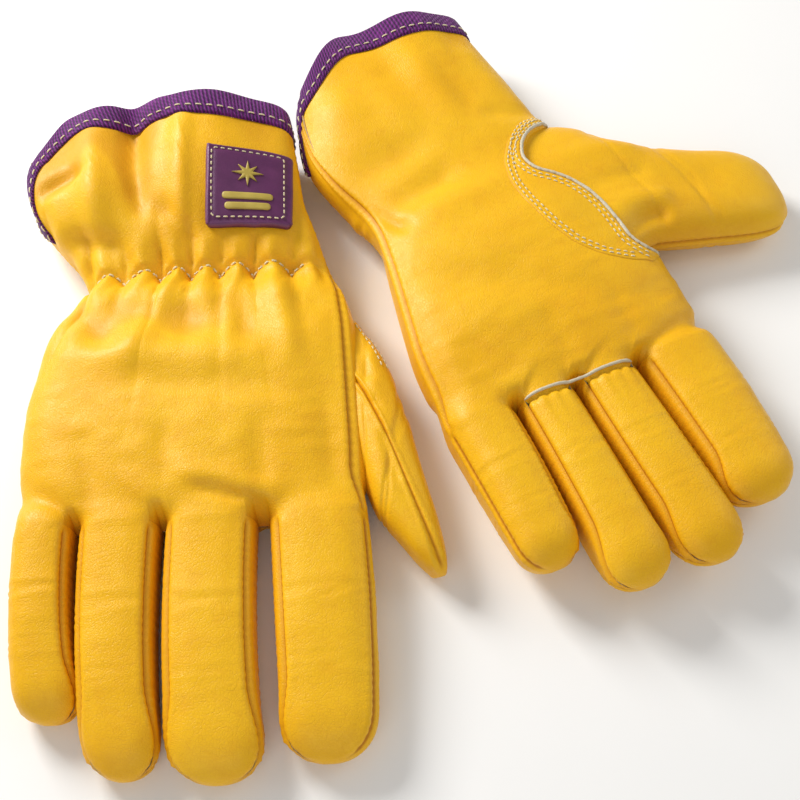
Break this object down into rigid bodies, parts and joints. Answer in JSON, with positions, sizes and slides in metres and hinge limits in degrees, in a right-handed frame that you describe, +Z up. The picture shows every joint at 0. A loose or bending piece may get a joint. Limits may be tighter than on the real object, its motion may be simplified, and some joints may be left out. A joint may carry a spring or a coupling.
{
  "type": "welding gloves",
  "caption": "Pair of unlined leather welding gloves, one back up and one palm up, with shirred wrist, bound flared cuff and keystone thumb.",
  "frame": {"origin": "centre of the pair's box on the surface it lies on", "axes": "+Z up, fingers of both gloves towards -Y, right glove on -X and left glove on +X"},
  "size_m": [0.3077, 0.3231, 0.0425],
  "materials": {
    "leather": "smooth golden grain leather",
    "side_leather": "smooth golden grain leather, cut as narrow side strips",
    "welt": "pale folded leather welt",
    "binding": "purple ribbed woven tape",
    "elastic": "white woven elastic",
    "badge": "moulded purple rubber patch",
    "emblem": "raised gold rubber",
    "thread": "cream sewing thread"
  },
  "bodies": {
    "right_hand": {"right_back_panel": "leather", "right_palm_panel": "leather", "right_thumb_keystone": "leather", "right_thumb_welt": "welt", "right_finger_welt": "welt", "right_cuff_binding": "binding", "right_binding_stitching": "thread", "right_wrist_elastic": "elastic", "right_wrist_stitching": "thread", "right_keystone_stitching": "thread", "right_badge": "badge", "right_badge_stitching": "thread", "right_badge_emblem": "emblem"},
    "right_index": {"right_index_back": "leather", "right_index_front": "leather", "right_index_fourchette": "side_leather"},
    "right_middle": {"right_middle_back": "leather", "right_middle_front": "leather", "right_middle_thumbside_fourchette": "side_leather", "right_middle_littleside_fourchette": "side_leather"},
    "right_ring": {"right_ring_back": "leather", "right_ring_front": "leather", "right_ring_thumbside_fourchette": "side_leather", "right_ring_littleside_fourchette": "side_leather"},
    "right_little": {"right_little_back": "leather", "right_little_front": "leather", "right_little_fourchette": "side_leather"},
    "right_thumb": {"right_thumb_front": "leather", "right_thumb_back": "leather"},
    "left_hand": {"left_back_panel": "leather", "left_palm_panel": "leather", "left_thumb_keystone": "leather", "left_thumb_welt": "welt", "left_finger_welt": "welt", "left_cuff_binding": "binding", "left_binding_stitching": "thread", "left_wrist_elastic": "elastic", "left_wrist_stitching": "thread", "left_keystone_stitching": "thread", "left_badge": "badge", "left_badge_stitching": "thread", "left_badge_emblem": "emblem"},
    "left_index": {"left_index_back": "leather", "left_index_front": "leather", "left_index_fourchette": "side_leather"},
    "left_middle": {"left_middle_back": "leather", "left_middle_front": "leather", "left_middle_thumbside_fourchette": "side_leather", "left_middle_littleside_fourchette": "side_leather"},
    "left_ring": {"left_ring_back": "leather", "left_ring_front": "leather", "left_ring_thumbside_fourchette": "side_leather", "left_ring_littleside_fourchette": "side_leather"},
    "left_little": {"left_little_back": "leather", "left_little_front": "leather", "left_little_fourchette": "side_leather"},
    "left_thumb": {"left_thumb_front": "leather", "left_thumb_back": "leather"}
  },
  "joints": [
    {"name": "right_index_bend", "type": "hinge", "parent": "right_hand", "child": "right_index", "pos_m": [-0.02885, -0.08069, 0.023], "axis": [-0.9985, -0.0541, 0], "range_deg": [0, 45], "stiffness_Nm_per_rad": 0.03},
    {"name": "right_middle_bend", "type": "hinge", "parent": "right_hand", "child": "right_middle", "pos_m": [-0.0644, -0.08261, 0.023], "axis": [-0.9985, -0.0541, 0], "range_deg": [0, 45], "stiffness_Nm_per_rad": 0.03},
    {"name": "right_ring_bend", "type": "hinge", "parent": "right_hand", "child": "right_ring", "pos_m": [-0.09426, -0.08423, 0.023], "axis": [-0.9985, -0.0541, 0], "range_deg": [0, 45], "stiffness_Nm_per_rad": 0.03},
    {"name": "right_little_bend", "type": "hinge", "parent": "right_hand", "child": "right_little", "pos_m": [-0.12012, -0.08563, 0.023], "axis": [-0.9985, -0.0541, 0], "range_deg": [0, 45], "stiffness_Nm_per_rad": 0.03},
    {"name": "right_thumb_bend", "type": "hinge", "parent": "right_hand", "child": "right_thumb", "pos_m": [-0.01719, -0.02798, 0.0222], "axis": [0.1115, -0.9938, 0], "range_deg": [0, 40], "stiffness_Nm_per_rad": 0.03},
    {"name": "left_index_bend", "type": "hinge", "parent": "left_hand", "child": "left_index", "pos_m": [0.09816, -0.01554, 0.026], "axis": [-0.9245, -0.3811, 0], "range_deg": [0, 70], "stiffness_Nm_per_rad": 0.03},
    {"name": "left_middle_bend", "type": "hinge", "parent": "left_hand", "child": "left_middle", "pos_m": [0.07153, -0.02652, 0.026], "axis": [-0.9245, -0.3811, 0], "range_deg": [0, 70], "stiffness_Nm_per_rad": 0.03},
    {"name": "left_ring_bend", "type": "hinge", "parent": "left_hand", "child": "left_ring", "pos_m": [0.04934, -0.03567, 0.026], "axis": [-0.9245, -0.3811, 0], "range_deg": [0, 70], "stiffness_Nm_per_rad": 0.03},
    {"name": "left_little_bend", "type": "hinge", "parent": "left_hand", "child": "left_little", "pos_m": [0.02688, -0.04492, 0.026], "axis": [-0.9245, -0.3811, 0], "range_deg": [0, 70], "stiffness_Nm_per_rad": 0.03},
    {"name": "left_thumb_bend", "type": "hinge", "parent": "left_hand", "child": "left_thumb", "pos_m": [0.08033, 0.06472, 0.0242], "axis": [0.4685, -0.8834, 0], "range_deg": [0, 50], "stiffness_Nm_per_rad": 0.03},
    {"name": "right_glove_lift", "type": "slide", "parent": "left_hand", "child": "right_hand", "axis": [0, 0, 1], "range_m": [0, 0.15]}
  ]
}
